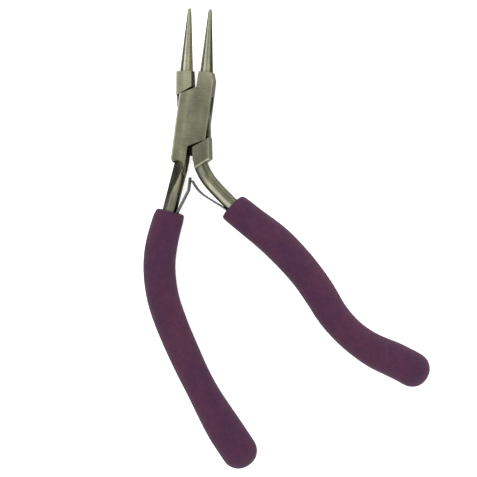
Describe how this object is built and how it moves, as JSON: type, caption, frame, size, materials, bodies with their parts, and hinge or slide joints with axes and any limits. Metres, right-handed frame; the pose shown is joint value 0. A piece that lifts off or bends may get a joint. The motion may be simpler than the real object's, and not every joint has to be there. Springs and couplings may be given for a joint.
{
  "type": "round nose pliers",
  "caption": "Spring-loaded jewellery pliers with a box joint, tapered round jaws, a pair of bent leaf springs and ergonomic foam-covered handles.",
  "frame": {"origin": "on the pivot axis, in the plane of the back cheek's flat face", "axes": "+Z along the pivot pin, up as the tool lies flat; +Y along the fixed half's gripping line towards the tips; +X to the right, the side of the handle that moves"},
  "size_m": [0.1022, 0.1538, 0.014],
  "materials": {
    "brushed_steel": "satin brushed",
    "spring_steel": "satin spring steel",
    "purple_foam": "matte closed-cell foam"
  },
  "bodies": {
    "box_side": {"box_half": "brushed_steel", "pivot_pin": "brushed_steel", "left_spring_rivet": "brushed_steel", "left_grip": "purple_foam"},
    "lap_side": {"lap_half": "brushed_steel", "right_spring_rivet": "brushed_steel", "right_grip": "purple_foam"},
    "left_leaf": {"left_leaf_spring": "spring_steel"},
    "right_leaf": {"right_leaf_spring": "spring_steel"}
  },
  "joints": [
    {"name": "pivot", "type": "hinge", "parent": "box_side", "child": "lap_side", "pos_m": [0, 0, 0.0045], "axis": [0, 0, -1], "range_deg": [-1, 8.9], "stiffness_Nm_per_rad": 0.3},
    {"name": "left_leaf_flex", "type": "hinge", "parent": "box_side", "child": "left_leaf", "pos_m": [-0.00169, -0.03407, 0.0045], "axis": [0, 0, 1], "range_deg": [-0.7, 5.5], "deforming": ["left_leaf_spring"]},
    {"name": "right_leaf_flex", "type": "hinge", "parent": "lap_side", "child": "right_leaf", "pos_m": [0.01541, -0.03001, 0.0045], "axis": [0, 0, -1], "range_deg": [-1.2, 9.5], "deforming": ["right_leaf_spring"]}
  ],
  "couplings": [
    {"joint": "left_leaf_flex", "follows": "pivot", "ratio": 0.6},
    {"joint": "right_leaf_flex", "follows": "pivot", "ratio": 1.05}
  ]
}
